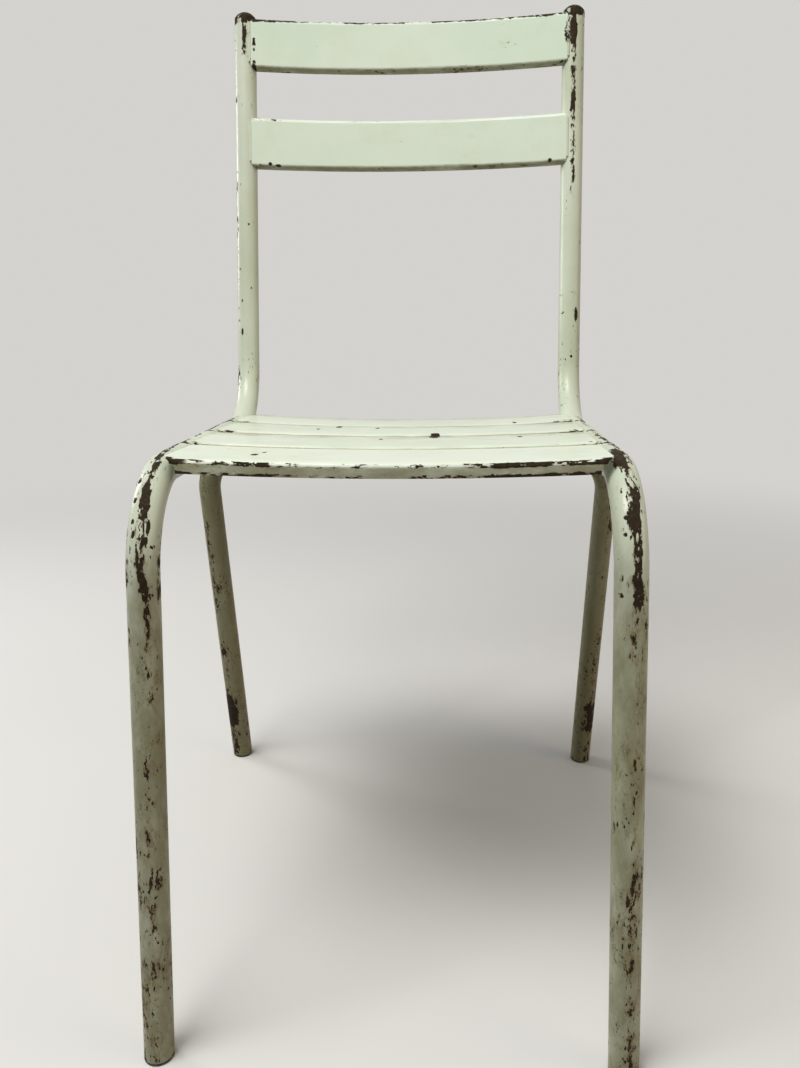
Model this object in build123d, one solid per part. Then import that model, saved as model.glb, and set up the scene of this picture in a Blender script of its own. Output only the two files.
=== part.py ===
from build123d import *
import os
from math import asin, atan2, cos, degrees, hypot, radians, sin, sqrt, tan

# Stacking chair of welded round tube and pressed sheet. Each side is one bent tube that is front
# leg, seat rail and upright in turn. A hoop of the same tube makes both rear legs. Four slats make
# the seat and two the back.
# Millimetres, +Z up, the sitter faces -Y, and the origin is on the floor, in the middle of the
# chair's box. Left and right are as seen from the front.

# Stock
tube_diameter = 22.0
tube_wall = 1.5
sheet_thickness = 1.5

# Side tubes, on their centre lines
front_foot_spacing = 340.0
front_corner_spacing = 310.0
upright_spacing = 336.0
front_corner_height = 429.0
rear_corner_height = 406.0
front_leg_rake = 27.0
upright_length = 412.0
upright_recline = 12.1
front_bend_radius = 63.0
upright_bend_radius = 70.0

# Rear leg hoop, on its centre line
rear_leg_spacing = 405.0
rear_leg_lean = 11.1
hoop_bend_radius = 46.0
hoop_ahead_of_upright = 61.0

# Seat slats, from the front, each with the depth of its dish; their front edges stand up a little
seat_setback = 27.0
seat_tail = 17.2
seat_slat_width = 84.0
seat_slat_gap = 3.0
seat_edge_depth = 10.7
seat_edge_inner_radius = 2.5
seat_slat_dishes = {"front": 3.8, "second": 3.9, "third": 4.1, "rear": 5.7}
seat_slat_tilt = 1.1
seat_corner_radius = 4.0
seat_front_corner_radius = 10.0
seat_edge_clearance = 4.5
seat_rest_angle = 36.7

# Back slats, from the top
back_top_drop = 2.5
back_slat_height = 50.0
back_slat_gap = 48.5
back_slat_bow = 14.0
back_edge_depth = 8.0
back_edge_inner_radius = 2.5
back_corner_radius = 5.0
back_rest_angle = 38.0

# Caps on the uprights and plugs in the feet
cap_height = 6.5
cap_spigot_length = 12.0
foot_plug_height = 2.5
foot_spigot_length = 14.0
foot_edge_chamfer = 0.8

# Welds and clearances
weld_gap = 0.35
cope_gap = 0.15
plug_clearance = 0.1
seat_bead_radius = 1.6
back_bead_radius = 1.8
bead_end_margin = 6.0
hoop_collar_radius = 8.0

# Worked out from the sizes above
tube_radius = tube_diameter / 2
bore_radius = tube_radius - tube_wall
spigot_radius = bore_radius - plug_clearance
recline = radians(upright_recline)
lean = radians(rear_leg_lean)
front_half = front_corner_spacing / 2
upright_half = upright_spacing / 2
slat_rest_radius = tube_radius + weld_gap
seat_rest = radians(seat_rest_angle)
back_rest = radians(back_rest_angle)

# The rails are as long as the seat that they carry
slat_pitch = seat_slat_width + seat_slat_gap
rail_length = seat_setback + len(seat_slat_dishes) * slat_pitch - seat_slat_gap + seat_tail
rail_drop = front_corner_height - rear_corner_height
rail_run = sqrt(rail_length**2 - rail_drop**2)
rail_slope = atan2(rail_drop, rail_run)
rail_splay = atan2(upright_half - front_half, rail_length)

# The chair's box runs from the front of the front feet to the back of the upright caps
foot_reach = tube_radius * hypot(1, front_leg_rake / front_corner_height)
cap_reach = tube_radius * cos(recline)
depth_ahead = front_leg_rake + foot_reach
depth_behind = rail_run + upright_length * sin(recline) + cap_reach
front_corner_y = (depth_ahead - depth_behind) / 2
rear_corner_y = front_corner_y + rail_run

front_foot = Vector(front_foot_spacing / 2, front_corner_y - front_leg_rake, 0)
front_corner = Vector(front_half, front_corner_y, front_corner_height)
rear_corner = Vector(upright_half, rear_corner_y, rear_corner_height)
upright_direction = Vector(0, sin(recline), cos(recline))
upright_top = rear_corner + upright_direction * upright_length

# Seat frame: X across, Y back along the rails, Z square to the seat, on the rails' centre lines
seat_frame = Plane(
    origin=(0, front_corner_y, front_corner_height),
    x_dir=(1, 0, 0),
    z_dir=(0, sin(rail_slope), cos(rail_slope)),
)

# Back frame: X across, Y up along the uprights, Z towards the sitter, on their centre lines
back_frame = Plane(
    origin=(0, rear_corner_y, rear_corner_height),
    x_dir=(1, 0, 0),
    z_dir=(0, -cos(recline), sin(recline)),
)


def below(height):
    """Everything under a level, wide enough for the whole chair."""
    size = 4 * (rear_leg_spacing + rail_run)
    return Pos(0, 0, height - size / 2) * Box(size, size, size)


def rod(path, radius):
    """A round bar along a path."""
    return sweep((path ^ 0) * Circle(radius), path=path)


def bar(start, end, radius):
    """A straight round bar between two points."""
    run = Vector(*end) - Vector(*start)
    return extrude(Plane(origin=start, z_dir=run) * Circle(radius), amount=run.length)


def mirrored(shape):
    """The same piece on the other side of the chair."""
    return mirror(shape, about=Plane.YZ)


def channel(width, depth, inner_radius):
    """Section of a pressed slat: its face is at the top, with both edges turned down."""
    outer = Pos(0, -depth / 2) * Rectangle(width, depth)
    outer = fillet(outer.vertices().group_by(Axis.Y)[-1], inner_radius + sheet_thickness)
    inner_width = width - 2 * sheet_thickness
    inner_depth = depth - sheet_thickness
    inner = Pos(0, -sheet_thickness - inner_depth / 2) * Rectangle(inner_width, inner_depth)
    inner = fillet(inner.vertices().group_by(Axis.Y)[-1], inner_radius)
    return outer - inner


def bowed_slat(section, middle, face, radius, reach):
    """A slat section carried across on a hollow curve, with its face at this height in the middle."""
    axis = Axis((0, 0, face + radius), (0, 1, 0))
    turn = 2 * degrees(asin(reach / radius))
    slat = revolve(Plane.YZ * Pos(middle, face) * section, axis=axis, revolution_arc=turn)
    return slat.rotate(axis, -turn / 2)


def bow_radius(half_chord, depth):
    """Radius of the curve that is this deep over this half chord."""
    return (half_chord**2 + depth**2) / (2 * depth)


# Side tubes

leg_direction = (front_corner - front_foot).normalized()
leg_overrun = leg_direction * tube_diameter
side_path = FilletPolyline(
    front_foot - leg_overrun,
    front_corner,
    rear_corner,
    upright_top,
    radius=[front_bend_radius, upright_bend_radius],
)
side_outer = rod(side_path, tube_radius)
right_side_tube = side_outer - rod(side_path, bore_radius) - below(foot_plug_height)
side_cope = rod(side_path, tube_radius + cope_gap)


# Rear leg hoop, raised until its tube sits a weld gap under the rails

rail_line = Line(front_corner, rear_corner)
hoop_crossing = rail_line @ (1 - hoop_ahead_of_upright / rail_run)
rear_foot_y = hoop_crossing.Y + hoop_crossing.Z * tan(lean)
hoop_frame = Plane(
    origin=(0, rear_foot_y, 0),
    x_dir=(1, 0, 0),
    z_dir=(0, -cos(lean), -sin(lean)),
)
rear_half = rear_leg_spacing / 2


def hoop_path(rise):
    """Centre line of the hoop with its cross bar at this distance up the legs."""
    foot = -tube_diameter
    corners = (-rear_half, foot), (-rear_half, rise), (rear_half, rise), (rear_half, foot)
    return hoop_frame * FilletPolyline(*corners, radius=hoop_bend_radius)


hoop_rise = hoop_crossing.Z / cos(lean) - 2 * tube_diameter
seating_steps = 12
for _ in range(seating_steps):
    spare = hoop_path(hoop_rise).distance_to(rail_line) - tube_diameter - weld_gap
    hoop_rise += spare
hoop_line = hoop_path(hoop_rise)
hoop_outer = rod(hoop_line, tube_radius)
rear_leg_hoop = hoop_outer - rod(hoop_line, bore_radius) - below(foot_plug_height)

hoop_seat, hoop_crown = rail_line.closest_points(hoop_line)
collar_middle = (hoop_crown + hoop_seat) / 2
collar_reach = (hoop_crown - hoop_seat).normalized() * hoop_collar_radius
hoop_collar = bar(collar_middle - collar_reach, collar_middle + collar_reach, hoop_collar_radius)
hoop_weld_right = hoop_collar - side_outer - hoop_outer


# Seat slats, resting on the inner shoulders of the rails

seat_end_inset = slat_rest_radius * sin(seat_rest)
seat_rise = slat_rest_radius * cos(seat_rest) + sheet_thickness


def rail_half(run):
    """Half the distance between the rails' centre lines, this far along them."""
    return front_half + (upright_half - front_half) * run / rail_length


def seat_half(run):
    """Half the seat's width, this far along the rails."""
    return rail_half(run) - seat_end_inset / cos(rail_splay)


def seat_slat_block(start, end, front_radius):
    """Block with the plan of a seat slat between two distances along the rails."""
    corners = (
        (-seat_half(start), start),
        (seat_half(start), start),
        (seat_half(end), end),
        (-seat_half(end), end),
    )
    plan = make_face(Polyline(*corners, close=True))
    plan = fillet(plan.vertices().group_by(Axis.Y)[0], front_radius)
    plan = fillet(plan.vertices().group_by(Axis.Y)[-1], seat_corner_radius)
    return extrude(plan, amount=seat_slat_width, both=True)


seat_section = channel(seat_slat_width, seat_edge_depth, seat_edge_inner_radius)

# The turned-down edges stop short of the rails, and only the face runs on to them
edge_bend_end = seat_rise - sheet_thickness - seat_edge_inner_radius
rail_start = Vector(rail_half(-tube_diameter), -tube_diameter, 0)
rail_end = Vector(rail_half(rail_length + tube_diameter), rail_length + tube_diameter, 0)
edge_notch = bar(rail_start, rail_end, tube_radius + seat_edge_clearance) & below(edge_bend_end)

front_turn = side_path.edges()[1]
upright_turn = side_path.edges()[3]
straight_start = (front_turn @ 1 - front_corner).length
straight_end = rail_length - (upright_turn @ 0 - rear_corner).length
bead_inset = seat_end_inset - seat_bead_radius / 2
bead_rise = sqrt(tube_radius**2 - bead_inset**2)


def seat_bead(start, end):
    """Bar of weld along the right rail, between two distances along it."""
    ends = []
    for run in (start, end):
        across = rail_half(run) - bead_inset / cos(rail_splay)
        ends.append(Vector(across, run, bead_rise))
    return seat_frame * bar(ends[0], ends[1], seat_bead_radius)


seat_slats = {}
seat_welds = {}
for place, (name, dish) in enumerate(seat_slat_dishes.items()):
    slat_front = seat_setback + place * slat_pitch
    slat_back = slat_front + seat_slat_width
    slat_middle = (slat_front + slat_back) / 2
    dish_radius = bow_radius(seat_half(slat_middle), dish)
    blank = bowed_slat(seat_section, slat_middle, seat_rise - dish, dish_radius, upright_half)
    tilt_axis = Axis((0, slat_middle, seat_rise), (1, 0, 0))
    blank = blank.rotate(tilt_axis, -seat_slat_tilt)
    front_radius = seat_corner_radius if place else seat_front_corner_radius
    blank = blank & seat_slat_block(slat_front, slat_back, front_radius)
    slat = seat_frame * (blank - edge_notch - mirrored(edge_notch))
    seat_slats[name] = slat - side_cope - mirrored(side_cope)
    bead_start = max(slat_front + bead_end_margin, straight_start)
    bead_end = min(slat_back - bead_end_margin, straight_end)
    seat_welds[name] = seat_bead(bead_start, bead_end) - side_outer - seat_slats[name]


# Back slats, resting on the inner shoulders of the uprights

back_end_inset = slat_rest_radius * sin(back_rest)
back_rise = slat_rest_radius * cos(back_rest) + sheet_thickness
back_half = upright_half - back_end_inset
back_face = back_rise - back_slat_bow
back_face_radius = bow_radius(back_half, back_slat_bow)
back_plan = RectangleRounded(2 * back_half, back_slat_height, back_corner_radius)
back_section = channel(back_slat_height, back_edge_depth, back_edge_inner_radius)
back_bead_inset = back_end_inset - back_bead_radius / 2
back_bead_rise = sqrt(tube_radius**2 - back_bead_inset**2)
back_bead_across = upright_half - back_bead_inset

back_slats = {}
back_welds = {}
for place, name in enumerate(("upper", "lower")):
    slat_top = upright_length - back_top_drop - place * (back_slat_height + back_slat_gap)
    slat_foot = slat_top - back_slat_height
    slat_middle = (slat_top + slat_foot) / 2
    blank = bowed_slat(back_section, slat_middle, back_face, back_face_radius, upright_half)
    back_block = extrude(Pos(0, slat_middle) * back_plan, amount=upright_half, both=True)
    slat = back_frame * (blank & back_block)
    back_slats[name] = slat - side_cope - mirrored(side_cope)
    bead_foot = Vector(back_bead_across, slat_foot + bead_end_margin, back_bead_rise)
    bead_top = Vector(back_bead_across, slat_top - bead_end_margin, back_bead_rise)
    bead = back_frame * bar(bead_foot, bead_top, back_bead_radius)
    back_welds[name] = bead - side_outer - back_slats[name]


# Domed caps, seated on the upright ends

cap_frame = Plane(origin=upright_top, x_dir=(1, 0, 0), z_dir=upright_direction)
dome_radius = bow_radius(tube_radius, cap_height)
dome_centre = cap_height - dome_radius
dome_start = degrees(atan2(-dome_centre, tube_radius))
cap_section = make_face(
    [
        Polyline((0, cap_height), (0, -cap_spigot_length), (spigot_radius, -cap_spigot_length)),
        Polyline((spigot_radius, -cap_spigot_length), (spigot_radius, 0), (tube_radius, 0)),
        CenterArc((0, dome_centre), dome_radius, dome_start, 90 - dome_start),
    ]
)
upright_cap = cap_frame * revolve(Plane.XZ * cap_section, axis=Axis.Z)


# Foot plugs, seated under the leg ends and flat on the floor

def foot_plug(foot, direction):
    """Plug for the end of a leg that runs up from this point on the floor."""
    low = foot - direction * tube_diameter
    tread = bar(low, foot + direction * tube_diameter, tube_radius)
    tread = tread - below(0)
    tread = tread & below(foot_plug_height)
    tread = chamfer(tread.edges().group_by(Axis.Z)[0], foot_edge_chamfer)
    spigot = bar(low, foot + direction * (foot_plug_height + foot_spigot_length), spigot_radius)
    return tread + (spigot - below(foot_plug_height / 2))


rear_foot = Vector(rear_half, rear_foot_y, 0)
rear_leg_direction = Vector(0, -sin(lean), cos(lean))
front_plug = foot_plug(front_foot, leg_direction)
rear_plug = foot_plug(rear_foot, rear_leg_direction)


# Nodes

right_hand = {
    "side_tube": right_side_tube,
    "upright_cap": upright_cap,
    "foot_plug_front": front_plug,
    "foot_plug_rear": rear_plug,
    "hoop_weld": hoop_weld_right,
}
for name, weld in seat_welds.items():
    right_hand[f"seat_weld_{name}"] = weld
for name, weld in back_welds.items():
    right_hand[f"back_weld_{name}"] = weld

nodes = {"rear_leg_hoop": rear_leg_hoop}
for name, slat in seat_slats.items():
    nodes[f"seat_slat_{name}"] = slat
for name, slat in back_slats.items():
    nodes[f"back_slat_{name}"] = slat
for name, piece in right_hand.items():
    nodes[f"{name}_right"] = piece
    nodes[f"{name}_left"] = mirrored(piece)

os.makedirs("parts", exist_ok=True)
for name, shape in nodes.items():
    export_step(shape, f"parts/{name}.step")
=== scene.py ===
import math
import bmesh
import bpy
from mathutils import Matrix, Vector

# Welded stacking chair in old pale green enamel, chipped and rusted.
# Metres, +Z up, the sitter faces -Y. Left and right are as seen from the front.

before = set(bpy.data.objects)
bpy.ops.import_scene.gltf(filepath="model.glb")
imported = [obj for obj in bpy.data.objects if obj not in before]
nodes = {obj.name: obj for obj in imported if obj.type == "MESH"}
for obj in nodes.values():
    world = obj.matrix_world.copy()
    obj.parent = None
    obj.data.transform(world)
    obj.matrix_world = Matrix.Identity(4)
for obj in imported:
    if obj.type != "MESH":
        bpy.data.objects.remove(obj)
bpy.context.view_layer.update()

# Centre lines of the right-hand side tube, which the left one mirrors
front_foot = Vector((0.170, -0.2508, 0.0))
front_corner = Vector((0.155, -0.2238, 0.429))
rear_corner = Vector((0.168, 0.1647, 0.406))
front_bend_radius = 0.063
upright_recline = math.radians(12.1)
rail_slope = math.atan2(front_corner.z - rear_corner.z, rear_corner.y - front_corner.y)
leg_rake = (front_corner.y - front_foot.y) / front_corner.z
rail_fall = math.tan(rail_slope)

# Rear leg hoop
rear_foot = Vector((0.2025, 0.1841, 0.0))
rear_leg_fall = math.tan(math.radians(11.1))

# Slats, measured back along the rails and up along the uprights
seat_rise = 0.0106
seat_half = 0.1485
seat_tilt = math.tan(math.radians(1.1))
seat_slat_width = 0.084
seat_edge_depth = 0.0107
seat_starts = {"front": 0.027, "second": 0.114, "third": 0.201, "rear": 0.288}
seat_dishes = {"front": 0.0038, "second": 0.0039, "third": 0.0041, "rear": 0.0057}
back_slat_height = 0.05
back_tops = {"upper": 0.4095, "lower": 0.311}

# Chips in the seat slats: sideways, back along the rails, half width and half length
seat_chips = {
    "front": [
        (-0.094, 0.061, 0.003, 0.006),
        (-0.090, 0.077, 0.002, 0.005),
    ],
    "second": [
        (0.030, 0.190, 0.0048, 0.013),
        (0.100, 0.178, 0.002, 0.006),
        (-0.013, 0.171, 0.002, 0.006),
    ],
    "third": [
        (0.031, 0.203, 0.0042, 0.007),
        (-0.058, 0.268, 0.003, 0.009),
        (-0.022, 0.260, 0.002, 0.006),
        (-0.074, 0.242, 0.002, 0.006),
    ],
    "rear": [
        (0.105, 0.296, 0.002, 0.007),
    ],
}

# Chips on the rails, beside the gaps in the seat: out from the tube's centre line, y, half sizes
rail_chips = [
    (-0.003, -0.112, 0.005, 0.004),
    (-0.002, -0.025, 0.005, 0.004),
    (-0.003, 0.062, 0.004, 0.004),
]

# Patches and chips at the front bends: out from the centre line, along from the bend's start, half sizes
leg_patches = {
    "left": [
        (-0.0005, 0.049, 0.0040, 0.011),
        (-0.0026, 0.000, 0.0035, 0.012),
        (-0.0050, -0.024, 0.0030, 0.011),
    ],
    "right": [
        (0.0020, 0.036, 0.0046, 0.024),
        (0.0030, -0.004, 0.0035, 0.010),
    ],
}
leg_chips = {
    "left": [
        (0.0065, 0.064, 0.0014, 0.0016),
        (0.0065, 0.050, 0.0014, 0.0020),
        (0.0056, 0.0365, 0.0012, 0.0018),
        (0.0042, 0.029, 0.0012, 0.0022),
        (-0.0050, 0.033, 0.0012, 0.0046),
        (-0.0044, 0.0255, 0.0012, 0.0022),
        (-0.0082, 0.0225, 0.0014, 0.0016),
    ],
    "right": [
        (-0.0036, 0.040, 0.0014, 0.0012),
        (-0.0064, 0.0335, 0.0012, 0.0014),
        (-0.0050, 0.0305, 0.0014, 0.0014),
        (-0.0088, 0.019, 0.0016, 0.0030),
        (-0.0080, 0.0065, 0.0014, 0.0028),
        (-0.0080, -0.004, 0.0016, 0.0018),
    ],
}

# Chips on the uprights: out from the centre line, up from the rear corner, half sizes
upright_chips = {
    "left": [
        (-0.0035, 0.203, 0.0012, 0.0012),
        (-0.0052, 0.138, 0.0013, 0.0018),
        (0.0040, 0.125, 0.0013, 0.0018),
        (0.0086, 0.117, 0.0014, 0.0022),
        (-0.0083, 0.108, 0.0015, 0.0018),
        (0.0076, 0.105, 0.0013, 0.0020),
        (0.0042, 0.093, 0.0013, 0.0042),
    ],
    "right": [
        (-0.0020, 0.390, 0.0050, 0.0140),
        (0.0088, 0.214, 0.0014, 0.0020),
        (-0.0094, 0.129, 0.0013, 0.0018),
        (-0.0082, 0.111, 0.0013, 0.0018),
        (0.0054, 0.109, 0.0019, 0.0080),
        (0.0010, 0.066, 0.0013, 0.0016),
    ],
}

# Chips in the back slats: sideways, up along the uprights, half sizes
back_chips = {
    "upper": [
        (0.162, 0.388, 0.005, 0.013),
        (-0.1575, 0.383, 0.002, 0.008),
        (-0.1575, 0.363, 0.002, 0.006),
    ],
    "lower": [
        (-0.142, 0.2650, 0.002, 0.0018),
        (-0.134, 0.2635, 0.003, 0.0014),
        (0.145, 0.2645, 0.002, 0.002),
        (-0.159, 0.298, 0.002, 0.002),
    ],
}

# Paint and rust, as linear colours
seat_green = (0.76, 0.84, 0.68, 1)
# The inner seat slats: duller paint, darkened further as painted shade
dull_shaded_seat_green = (0.69, 0.765, 0.615, 1)
back_green = (0.675, 0.79, 0.635, 1)
tube_green = (0.55, 0.60, 0.445, 1)
# Painted shade: the rear legs get a darker copy of the green
shaded_rear_leg_green = (0.26, 0.275, 0.17, 1)
chalk = (0.84, 0.89, 0.78, 1)
yellowed = (0.62, 0.58, 0.36, 1)
# Khaki film: dirt, and painted shade on the legs, the hoop and the seat slats
khaki_dirt_and_shade = (0.235, 0.215, 0.108, 1)
dark_soil = (0.060, 0.052, 0.028, 1)
rust_stain = (0.22, 0.135, 0.05, 1)
rust_stops = [
    (0.30, (0.006, 0.004, 0.0015, 1)),
    (0.50, (0.018, 0.011, 0.003, 1)),
    (0.66, (0.048, 0.025, 0.007, 1)),
    (0.84, (0.120, 0.054, 0.014, 1)),
]
rubber_black = (0.020, 0.018, 0.015, 1)
floor_dust = (0.26, 0.23, 0.18, 1)

# Chips are drawn out along tubes and slats by shrinking the length that their noise sees
tube_stretch = 0.42
slat_stretch = 0.45

# Studio
backdrop = (0.66, 0.645, 0.62, 1)
floor_seen = (0.80, 0.785, 0.76, 1)
floor_bounce = (0.24, 0.225, 0.20, 1)
sky = (0.95, 0.98, 1.0, 1)
sky_strength = 0.20
floor_radius = 12.0
floor_fade_start = 0.75
floor_fade_end = 2.0
lamp_target = Vector((0.0, 0.0, 0.45))

# Camera, worked out from the photograph
camera_place = Vector((0.03666, -0.76593, 0.55057))
camera_yaw = math.radians(-2.79)
camera_pitch = math.radians(16.05)
camera_roll = math.radians(-0.49)
camera_lens = 29.86
sensor_size = 36.0


class Wire:
    """A value in a finish. Arithmetic on it adds Math nodes."""

    def __init__(self, finish, socket):
        self.finish = finish
        self.socket = socket

    def also(self, output):
        """Another output of the node that this value comes from."""
        return Wire(self.finish, self.socket.node.outputs[output])

    def maths(self, operation, *values):
        return self.finish.node("ShaderNodeMath", {"operation": operation}, dict(enumerate(values)))

    def __add__(self, other):
        return self.maths("ADD", self, other)

    def __radd__(self, other):
        return self.maths("ADD", other, self)

    def __sub__(self, other):
        return self.maths("SUBTRACT", self, other)

    def __rsub__(self, other):
        return self.maths("SUBTRACT", other, self)

    def __mul__(self, other):
        return self.maths("MULTIPLY", self, other)

    def __rmul__(self, other):
        return self.maths("MULTIPLY", other, self)

    def __truediv__(self, other):
        return self.maths("DIVIDE", self, other)

    def __neg__(self):
        return self.maths("MULTIPLY", self, -1.0)

    def __abs__(self):
        return self.maths("ABSOLUTE", self)

    def __pow__(self, other):
        return self.maths("POWER", self, other)


class Finish:
    """The nodes of a material or of the world."""

    def __init__(self, owner):
        owner.use_nodes = True
        self.tree = owner.node_tree
        self.tree.nodes.clear()

    def node(self, kind, settings=None, sockets=None, output=0):
        """A node with its settings and its sockets' values or links, as the value of one output."""
        made = self.tree.nodes.new(kind)
        for name, value in (settings or {}).items():
            if name == "stops":
                self.set_stops(made.color_ramp, value)
            else:
                setattr(made, name, value)
        for name, value in (sockets or {}).items():
            if isinstance(value, Wire):
                self.tree.links.new(value.socket, made.inputs[name])
            else:
                made.inputs[name].default_value = value
        return Wire(self, made.outputs[output]) if len(made.outputs) else None

    def set_stops(self, ramp, stops):
        while len(ramp.elements) < len(stops):
            ramp.elements.new(1.0)
        for element, (position, colour) in zip(ramp.elements, stops):
            element.position = position
            element.color = colour

    def place(self):
        """Where a point is on the chair."""
        return self.node("ShaderNodeTexCoord", output="Object")

    def split(self, vector):
        first = self.node("ShaderNodeSeparateXYZ", sockets={0: vector})
        return first, first.also(1), first.also(2)

    def join(self, x, y, z):
        return self.node("ShaderNodeCombineXYZ", sockets={0: x, 1: y, 2: z})

    def noise(self, vector, scale, detail=3.0, roughness=0.5):
        values = {"Vector": vector, "Scale": scale, "Detail": detail, "Roughness": roughness}
        return self.node("ShaderNodeTexNoise", sockets=values)

    def band(self, value, low, high):
        """0 at low and 1 at high, eased, and the other way round where high is the smaller."""
        values = {"Value": value, "From Min": min(low, high), "From Max": max(low, high)}
        if low > high:
            values.update({"To Min": 1.0, "To Max": 0.0})
        return self.node("ShaderNodeMapRange", {"interpolation_type": "SMOOTHSTEP"}, values)

    def blend(self, mask, first, second):
        """The first colour where the mask is 0 and the second where it is 1."""
        return self.node("ShaderNodeMix", {"data_type": "RGBA"}, {0: mask, 6: first, 7: second}, 2)

    def least(self, first, second):
        return first.maths("MINIMUM", first, second)

    def most(self, first, second):
        return first.maths("MAXIMUM", first, second)

    def spots(self, across, along, chips):
        """1 in the middle of every chip in the list."""
        total = across * 0.0
        for chip_across, chip_along, half_width, half_length in chips:
            aside = (across - chip_across) / half_width
            onward = (along - chip_along) / half_length
            total = total + self.band(aside * aside + onward * onward, 1.6, 0.3)
        return total

    def seen(self):
        """1 to the camera and in reflections, 0 to light that bounces on."""
        path = self.node("ShaderNodeLightPath", output="Is Camera Ray")
        return self.least(path + path.also("Is Glossy Ray") + path.also("Is Transmission Ray"), 1.0)

    def show(self, surface):
        self.node("ShaderNodeOutputMaterial", sockets={"Surface": surface})


def new_finish(name):
    material = bpy.data.materials.new(name)
    return material, Finish(material)


def old_paint(finish, spot, grain, dirt_and_shade, green):
    """Colour of enamel that is chalky, yellowed and scratched, and the film on it, which is dirt and in
    places painted shade.
    """
    cloud = finish.noise(spot, 7.0, 3.0, 0.55)
    aged = finish.noise(spot, 23.0, 4.0, 0.6)
    smear = finish.noise(grain, 60.0, 6.0, 0.68)
    paint = finish.blend(finish.band(cloud, 0.30, 0.72) * 0.5, green, chalk)
    paint = finish.blend(finish.band(aged, 0.45, 0.78) * 0.22 + dirt_and_shade * 0.25, paint, yellowed)
    film = finish.band(smear * 1.2 + dirt_and_shade * 0.75, 0.72, 1.45)
    paint = finish.blend(film * 0.85, paint, khaki_dirt_and_shade)
    crease = abs(finish.noise(grain, 75.0, 5.0, 0.66) - 0.5)
    scratch = finish.band(crease, 0.014, 0.003) * finish.band(aged, 0.46, 0.60) * film
    return finish.blend(scratch * 0.7, paint, dark_soil), film


def rust_and_enamel(finish, grain, bare, dirt_and_shade, green):
    """Gloss enamel, chipped to rust where bare is high, with a khaki film where dirt_and_shade is high:
    dirt, and on some parts painted shade.
    """
    spot = finish.place()
    cluster = finish.noise(grain, 44.0, 3.0, 0.6)
    flake = finish.noise(grain, 200.0, 6.0, 0.64)
    speck = finish.noise(grain, 460.0, 4.0, 0.55)
    bias = bare + (cluster - 0.5) * 0.8
    loss = bias + (flake - 0.5) * 1.5
    speck_loss = bias * 0.8 + (speck - 0.5) * 1.5
    chip = finish.most(finish.band(loss, 0.50, 0.53), finish.band(speck_loss, 0.43, 0.47))
    stain = finish.band(loss, 0.34, 0.52) * (0.3 + dirt_and_shade * 0.5)

    paint, film = old_paint(finish, spot, grain, dirt_and_shade, green)
    crust = finish.noise(spot, 330.0, 6.0, 0.7)
    rust = finish.node("ShaderNodeValToRGB", {"stops": rust_stops}, {0: crust + (loss - 0.6) * 0.12})
    colour = finish.blend(chip, finish.blend(stain, paint, rust_stain), rust)

    peel = finish.noise(spot, 420.0, 2.0, 0.5)
    height = (1 - chip) * (0.6 + peel * 0.05) + chip * crust * 0.5
    bump = finish.node("ShaderNodeBump", sockets={"Strength": 0.7, "Distance": 0.0004, "Height": height})
    dull = finish.band(finish.noise(spot, 90.0, 4.0, 0.6), 0.35, 0.75)
    surface = finish.node(
        "ShaderNodeBsdfPrincipled",
        sockets={
            "Base Color": colour,
            "Roughness": finish.most(chip * 0.88, 0.32 + dull * 0.14 + film * 0.30),
            "Specular IOR Level": 0.3,
            "Coat Weight": (1 - chip) * 0.25,
            "Coat Roughness": 0.2,
            "Normal": bump,
        },
    )
    finish.show(surface)


def bend_centre(corner, before, after, radius):
    """Centre of the arc that rounds a corner between two points."""
    back = (before - corner).normalized()
    on = (after - corner).normalized()
    half_angle = back.angle(on) / 2
    return corner + (back + on).normalized() * radius / math.sin(half_angle)


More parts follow.
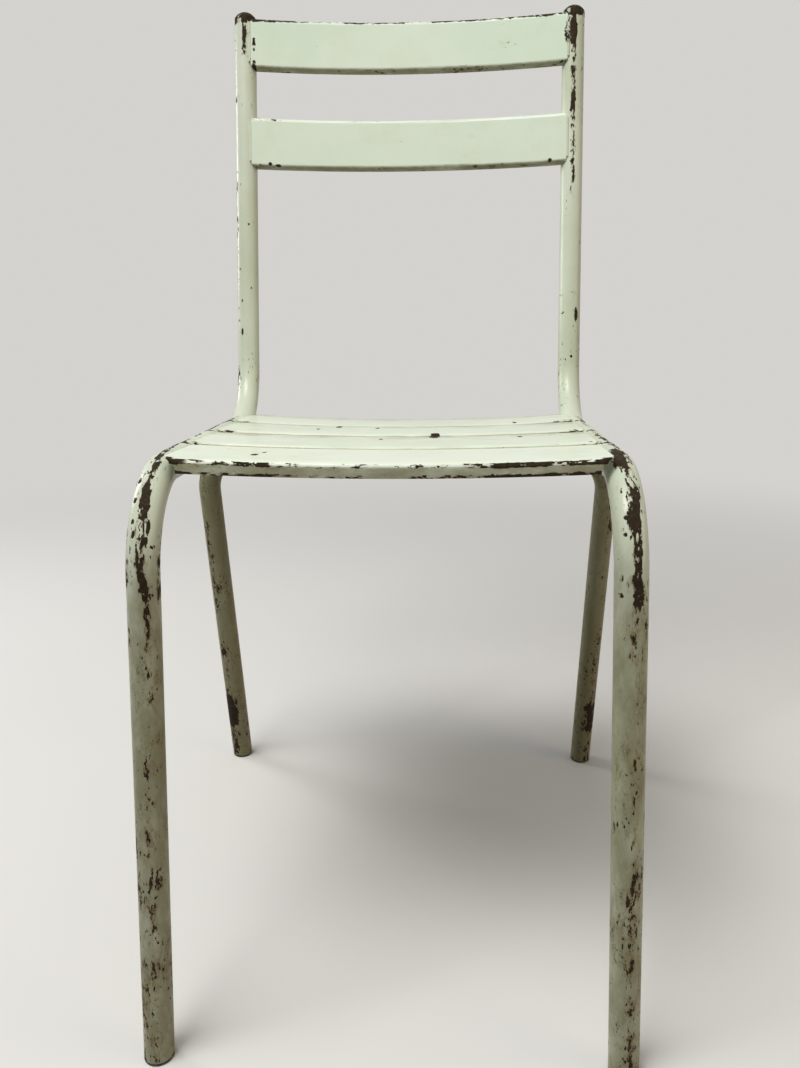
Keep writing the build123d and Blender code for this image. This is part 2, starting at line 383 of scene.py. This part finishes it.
class SideTube:
    """Places on the side tubes, as if leg, rail and upright were one straight strip."""

    def __init__(self, finish):
        self.finish = finish
        self.spot = finish.place()
        self.x, self.y, self.z = finish.split(self.spot)
        self.left_hand = finish.band(self.x, 0.01, -0.01)
        self.centre = bend_centre(front_corner, front_foot, rear_corner, front_bend_radius)
        self.across = abs(self.x) - self.centre_line()
        self.facing, self.along = self.leg_and_rail()
        self.forward, self.climb = self.upright()
        self.wander = finish.noise(finish.join(self.x, 0.0, self.along), 22.0, 3.0)

    def centre_line(self):
        """How far the tube's centre line is from the middle of the chair."""
        finish = self.finish
        leg_share = finish.most(1 - self.z / front_corner.z, 0.0)
        rail_run = rear_corner.y - front_corner.y
        rail_share = finish.least(finish.most((self.y - front_corner.y) / rail_run, 0.0), 1.0)
        leg_spread = leg_share * (front_foot.x - front_corner.x)
        return front_corner.x + leg_spread + rail_share * (rear_corner.x - front_corner.x)

    def leg_and_rail(self):
        """Out from the centre line of leg, front bend and rail, and along it from where the bend starts."""
        finish = self.finish
        behind = self.y - self.centre.y
        above = self.z - self.centre.z
        under = finish.least(above, 0.0)
        past = finish.most(behind, 0.0)
        back = finish.least(behind - under * leg_rake, 0.0)
        up = finish.most(above + past * rail_fall, 0.0)
        facing = (back * back + up * up) ** 0.5 - front_bend_radius
        turn = up.maths("ARCTAN2", up, -back)
        return facing, under + turn * front_bend_radius + past

    def upright(self):
        """Forward from the upright's centre line, and up along it from the rear corner."""
        behind = self.y - rear_corner.y
        above = self.z - rear_corner.z
        forward = above * math.sin(upright_recline) - behind * math.cos(upright_recline)
        climb = behind * math.sin(upright_recline) + above * math.cos(upright_recline)
        return forward, climb

    def grain(self):
        """Places that make chips long along the tube, on the upright too."""
        front_turn = math.pi / 2 - rail_slope
        rail_end = front_turn * front_bend_radius + rear_corner.y - self.centre.y
        on_upright = self.finish.band(self.climb + self.along - rail_end, -0.02, 0.02)
        facing = self.facing + (self.forward - self.facing) * on_upright
        along = self.along + (self.climb + rail_end - self.along) * on_upright
        return self.finish.join(self.x, facing, along * tube_stretch)

    def spots(self, onward, chips):
        """1 in the left tube's chips on the left and in the right tube's chips on the right."""
        left = self.finish.spots(self.across, onward, chips["left"])
        right = self.finish.spots(self.across, onward, chips["right"])
        return right + (left - right) * self.left_hand


def leg_wear(finish, tube):
    """Bare places of legs and rails: a streak up the leg, over the bend and along the rail, and chips."""
    across, along, left_hand = tube.across, tube.along, tube.left_hand
    outside = finish.band(tube.facing, -0.001, 0.003) * finish.band(tube.y, 0.13, 0.10)
    on_bend = finish.band(along, -0.03, 0.01) * finish.band(along, 0.095, 0.075)
    on_rail = finish.band(along, 0.10, 0.15)

    # The left streak lies further in than the right one, most of all just below the bend
    inward = 0.002 + finish.band(along, 0.03, -0.03) * 0.0040 - finish.band(along, -0.08, -0.14) * 0.0030
    streak_line = across - 0.0015 + left_hand * inward - (tube.wander - 0.5) * 0.008
    streak_line = streak_line - on_rail * left_hand * 0.002

    # Both thin out down the leg, the right one higher up
    fading = along - (1 - left_hand) * 0.03
    half_width = 0.0008 + finish.band(fading, -0.08, 0.01) * (0.0024 - left_hand * 0.0010)
    half_width = half_width - on_rail * (0.0014 - left_hand * 0.0010)
    beside = abs(streak_line) - half_width
    streak = finish.band(beside, 0.0020, -0.0012)
    streak = streak * (0.11 + finish.band(fading, -0.14, 0.0) * 0.10 + on_rail * 0.06)
    scatter = finish.band(beside, 0.0090, 0.0010) * (0.09 + on_bend * 0.08)

    inner_edge = left_hand * finish.band(across, -0.0096, -0.0106)
    inner_edge = inner_edge * finish.band(along, -0.04, 0.0) * finish.band(along, 0.05, 0.03)
    slat_corner = finish.band(along, 0.070, 0.082) * finish.band(along, 0.122, 0.106)
    slat_corner = slat_corner * finish.band(abs(across + 0.003), 0.0065, 0.0030)
    slat_corner = slat_corner * (0.36 - left_hand * 0.26)
    chips = finish.spots(across, tube.y, rail_chips) * 0.32
    chips = chips + tube.spots(along, leg_patches) * 0.14 + tube.spots(along, leg_chips) * 0.38
    return inner_edge * 0.30 + (streak + scatter + slat_corner + chips) * outside


def upright_wear(finish, tube):
    """Bare places of the uprights: a long streak on the right, a short one and a worn side on the left."""
    across, climb, left_hand = tube.across, tube.climb, tube.left_hand
    front = finish.band(tube.forward, 0.0, 0.004)
    streak_line = abs(across + 0.0005 - (tube.wander - 0.5) * 0.006)
    streak = finish.band(streak_line, 0.0040, 0.0010) * finish.band(tube.z, 0.50, 0.54)
    blots = finish.band(finish.noise(finish.join(tube.x, 0.0, climb), 48.0, 2.0), 0.40, 0.58)
    right_streak = finish.band(climb, 0.20, 0.27) * (0.25 + blots * 0.19)
    left_streak = finish.band(climb, 0.365, 0.375) * 0.40
    streak = streak * (right_streak + (left_streak - right_streak) * left_hand)
    left_side = left_hand * finish.band(across, 0.006, 0.009) * finish.band(climb, 0.10, 0.20)
    foot = finish.band(tube.y, 0.14, 0.16) * finish.band(tube.z, 0.54, 0.46)
    tip = finish.band(climb, 0.4030, 0.4065)
    chips = tube.spots(climb, upright_chips) * 0.36
    return (streak + chips) * front + left_side * 0.20 + foot * 0.18 + tip * 0.42


def stack_wear(finish, tube):
    """Rubbing in the stack has worn the outer sides, and the backs of the uprights."""
    patchy = finish.band(finish.noise(tube.spot, 13.0, 2.0), 0.46, 0.66)
    outer_side = finish.band(tube.across, 0.004, 0.009)
    upright_back = finish.band(tube.forward, 0.0, -0.006)
    return finish.most(outer_side, upright_back) * patchy * 0.14


def side_tube_finish():
    """Enamel of the side tubes, darker and more khaki down the legs, with painted shade making the left one
    darker still.
    """
    material, finish = new_finish("side_tube_enamel")
    tube = SideTube(finish)
    low = finish.band(tube.z, 0.36, 0.16)
    near_floor = finish.band(tube.z, 0.05, 0.0)
    bare = 0.13 + low * 0.09 + near_floor * 0.08
    bare = bare + leg_wear(finish, tube) + upright_wear(finish, tube) + stack_wear(finish, tube)
    # Darker and more khaki below the seat; the extra darkening of the left leg is painted shade
    dirt_and_shade = finish.band(tube.z, 0.43, 0.32) * (0.80 + tube.left_hand * 0.12)
    rust_and_enamel(finish, tube.grain(), bare, dirt_and_shade, tube_green)
    return material


def hoop_finish():
    """Enamel of the rear leg hoop: long chips down the legs and bare patches above the feet, in a darker
    green under a heavy film that paint the shade under the seat.
    """
    material, finish = new_finish("rear_leg_enamel")
    x, y, z = finish.split(finish.place())
    across = abs(x) - rear_foot.x
    facing = rear_foot.y - z * rear_leg_fall - y
    grain = finish.join(x, y, z * tube_stretch)
    patch = finish.band(z, 0.040, 0.052) * finish.band(z, 0.098, 0.078)
    patch = patch * finish.band(across + facing * 0.5, 0.000, 0.005)
    line = finish.band(abs(across - 0.005), 0.005, 0.002) * finish.band(facing, -0.002, 0.004)
    line = line * finish.band(z, 0.375, 0.355)
    low = finish.band(z, 0.30, 0.02)
    bare = 0.17 + low * 0.06 + patch * 0.32 + line * 0.16
    # Painted shade: the darker green and the heavy film darken the hoop like the shade under the seat
    rust_and_enamel(finish, grain, bare, 0.94 + low * 0.15, shaded_rear_leg_green)
    return material


def slat_finish(kind, place, wear, green):
    """Enamel of a slat, with the wear of its own edges."""
    material, finish = new_finish(f"{kind}_{place}_enamel")
    spot = finish.place()
    x, y, z = finish.split(spot)
    grain = finish.join(x * slat_stretch, y, z)
    patch = finish.band(finish.noise(spot, 26.0, 2.0), 0.40, 0.66)
    bare, dirt_and_shade = wear(finish, place, x, y, z, patch)
    rust_and_enamel(finish, grain, 0.04 + bare, dirt_and_shade, green)
    return material


def seat_wear(finish, place, x, y, z, patch):
    """Wear and dirt of a seat slat: chips, grooves and rear parts darkened with dirt and painted shade, and
    a bare front edge on the front one.
    """
    back = y - front_corner.y
    up = z - front_corner.z
    run = back * math.cos(rail_slope) - up * math.sin(rail_slope)
    rise = back * math.sin(rail_slope) + up * math.cos(rail_slope)
    start = seat_starts[place]
    stop = start + seat_slat_width
    share = x / seat_half
    lean = (run - start - seat_slat_width / 2) * seat_tilt
    depth = seat_rise - (1 - share * share) * seat_dishes[place] - lean - rise
    ahead = finish.band(run, start + 0.006, start + 0.002)
    behind = finish.band(run, stop - 0.005, stop - 0.001)
    end = finish.band(abs(x), 0.132, 0.147)
    bare = finish.spots(x, run, seat_chips[place]) * 0.60 + ahead * end * 0.36
    # Darker towards the slat's rear and just before the gap: dust, with painted shade and painted
    # reflection
    dust = finish.band(run, start + 0.020, stop) * 0.52
    dust = dust + finish.band(run, stop - 0.020, stop - 0.004) * 0.12
    if place == "front":
        bend = ahead * finish.band(depth, 0.0006, 0.0014) * finish.band(depth, 0.0054, 0.0036)
        brink = ahead * finish.band(depth, seat_edge_depth - 0.0036, seat_edge_depth - 0.0012)
        worse = finish.band(abs(x), 0.02, 0.125)
        bare = bare + bend * (0.22 + worse * 0.18 + patch * 0.16)
        bare = bare + brink * (0.32 + worse * 0.12 + patch * 0.16)
        # The front slat's turned-down edge is darkened with dirt and painted shade
        return bare, ahead * finish.band(depth, 0.0018, 0.0046) * 0.80 + dust * 0.3
    # The edges by the gaps are darkened with dirt and painted shade
    groove_dirt_and_shade = (ahead + behind) * finish.band(depth, 0.0010, 0.0026)
    return bare + groove_dirt_and_shade * 0.12, groove_dirt_and_shade + dust


def back_wear(finish, place, x, y, z, patch):
    """Wear and dirt of a back slat: chips, a bare top edge on the upper one, and a lower edge darkened with
    dirt and painted shade.
    """
    back = y - rear_corner.y
    up = z - rear_corner.z
    climb = back * math.sin(upright_recline) + up * math.cos(upright_recline)
    top = back_tops[place]
    foot = top - back_slat_height
    worse = finish.band(abs(x), 0.08, 0.150)
    rim = finish.band(climb + worse * 0.001, top - 0.0046, top - 0.0016)
    brink = finish.band(climb, foot + 0.0045, foot + 0.0015)
    rim_wear = 0.50 if place == "upper" else 0.14
    bare = rim * (rim_wear * 0.74 + worse * rim_wear * 0.26 + patch * 0.10)
    bare = bare + brink * (0.16 + patch * 0.16) + finish.spots(x, climb, back_chips[place]) * 0.50
    # Darkening along the lower edge: dirt and the painted shade of the turned edge
    return bare, brink * 0.9


def cap_finish():
    """Steel cap, rusted all over."""
    material, finish = new_finish("cap_rust")
    rust_and_enamel(finish, finish.place(), 0.66, 0.8, tube_green)
    return material


def rubber_finish():
    """Dusty rubber foot."""
    material, finish = new_finish("foot_rubber")
    spot = finish.place()
    dust = finish.band(finish.noise(spot, 240.0, 5.0, 0.65), 0.42, 0.72)
    grain = finish.noise(spot, 900.0, 3.0, 0.6)
    colour = finish.blend(dust * 0.65, rubber_black, floor_dust)
    bump = finish.node("ShaderNodeBump", sockets={"Strength": 0.4, "Distance": 0.0002, "Height": grain})
    surface = finish.node(
        "ShaderNodeBsdfPrincipled",
        sockets={"Base Color": colour, "Roughness": 0.70 + dust * 0.2, "Normal": bump},
    )
    finish.show(surface)
    return material


def weld_finish():
    """Painted weld beads, rusty in patches, the top right one half bare."""
    material, finish = new_finish("weld_enamel")
    spot = finish.place()
    x, _, z = finish.split(spot)
    patch = finish.band(finish.noise(spot, 40.0, 2.0), 0.45, 0.62)
    top_right = finish.band(x, 0.14, 0.15) * finish.band(z, 0.775, 0.785)
    rust_and_enamel(finish, spot, 0.12 + patch * 0.14 + top_right * 0.34, 0.15, tube_green)
    return material


def dress(material, *names):
    """Puts a finish on CAD nodes."""
    for name in names:
        for slot in nodes[name].material_slots:
            slot.material = material


def both(name):
    """Names of the left and the right piece of a pair."""
    return f"{name}_left", f"{name}_right"


def lay_floor():
    """Pale round floor that fades into the backdrop away from the chair."""
    shape = bmesh.new()
    bmesh.ops.create_circle(shape, cap_ends=True, segments=96, radius=floor_radius)
    mesh = bpy.data.meshes.new("floor")
    shape.to_mesh(mesh)
    shape.free()
    floor = bpy.data.objects.new("floor", mesh)
    bpy.context.scene.collection.objects.link(floor)

    material, finish = new_finish("floor_pale")
    x, y, _ = finish.split(finish.place())
    far = finish.band((x * x + y * y) ** 0.5, floor_fade_start, floor_fade_end)
    seen = finish.seen()
    tone = finish.blend(seen, floor_bounce, floor_seen)
    matt = finish.node("ShaderNodeBsdfDiffuse", sockets={"Color": tone})
    glow = finish.node("ShaderNodeEmission", sockets={"Color": backdrop, "Strength": 1.0})
    finish.show(finish.node("ShaderNodeMixShader", sockets={0: far * seen, 1: matt, 2: glow}))
    mesh.materials.append(material)


def light_world():
    """Even studio light all round, with a plain backdrop behind the chair."""
    world = bpy.data.worlds.new("studio")
    bpy.context.scene.world = world
    finish = Finish(world)
    seen = finish.seen()
    light = finish.node("ShaderNodeBackground", sockets={"Color": sky, "Strength": sky_strength})
    plain = finish.node("ShaderNodeBackground", sockets={"Color": backdrop, "Strength": 1.0})
    surface = finish.node("ShaderNodeMixShader", sockets={0: seen, 1: light, 2: plain})
    finish.node("ShaderNodeOutputWorld", sockets={"Surface": surface})


def hang_softbox(name, place, size, power, colour):
    """A square area lamp that points at the chair."""
    lamp = bpy.data.lights.new(name, "AREA")
    lamp.shape = "SQUARE"
    lamp.size = size
    lamp.energy = power
    lamp.color = colour
    softbox = bpy.data.objects.new(name, lamp)
    softbox.location = place
    softbox.rotation_euler = (lamp_target - Vector(place)).to_track_quat("-Z", "Y").to_euler()
    bpy.context.scene.collection.objects.link(softbox)


def set_camera():
    """Camera in front of the chair, looking down on the seat, with a slight roll."""
    level = Vector((math.cos(camera_yaw), -math.sin(camera_yaw), 0.0))
    flat_ahead = Vector((math.sin(camera_yaw), math.cos(camera_yaw), 0.0))
    ahead = flat_ahead * math.cos(camera_pitch) - Vector((0.0, 0.0, math.sin(camera_pitch)))
    upward = level.cross(ahead)
    right = level * math.cos(camera_roll) + upward * math.sin(camera_roll)
    top = upward * math.cos(camera_roll) - level * math.sin(camera_roll)
    lens = bpy.data.cameras.new("camera")
    lens.sensor_fit = "VERTICAL"
    lens.sensor_width = sensor_size
    lens.sensor_height = sensor_size
    lens.lens = camera_lens
    lens.clip_start = 0.05
    lens.clip_end = 50.0
    camera = bpy.data.objects.new("camera", lens)
    turn = Matrix((right, top, -ahead)).transposed().to_4x4()
    camera.matrix_world = Matrix.Translation(camera_place) @ turn
    bpy.context.scene.collection.objects.link(camera)
    bpy.context.scene.camera = camera


dress(side_tube_finish(), *both("side_tube"))
dress(hoop_finish(), "rear_leg_hoop")
dress(cap_finish(), *both("upright_cap"))
dress(rubber_finish(), *both("foot_plug_front"), *both("foot_plug_rear"))
weld_enamel = weld_finish()
dress(weld_enamel, *both("hoop_weld"))
for seat_place in seat_starts:
    # The inner slats get the darker green, which is partly painted shade
    slat_green = seat_green if seat_place == "front" else dull_shaded_seat_green
    dress(slat_finish("seat_slat", seat_place, seat_wear, slat_green), f"seat_slat_{seat_place}")
    dress(weld_enamel, *both(f"seat_weld_{seat_place}"))
for back_place in back_tops:
    dress(slat_finish("back_slat", back_place, back_wear, back_green), f"back_slat_{back_place}")
    dress(weld_enamel, *both(f"back_weld_{back_place}"))

lay_floor()
light_world()
hang_softbox("key_softbox", (-0.8, -0.85, 2.8), size=1.3, power=58.0, colour=(1.0, 1.0, 0.98))
hang_softbox("top_softbox", (0.2, -0.2, 2.6), size=1.6, power=5.0, colour=(1.0, 1.0, 1.0))
hang_softbox("side_fill", (2.0, -0.8, 1.0), size=1.2, power=8.0, colour=(1.0, 0.76, 0.46))
hang_softbox("rim_softbox", (-1.7, 0.9, 1.0), size=0.6, power=9.0, colour=(1.0, 1.0, 1.0))
set_camera()
bpy.context.scene.view_settings.view_transform = "Standard"
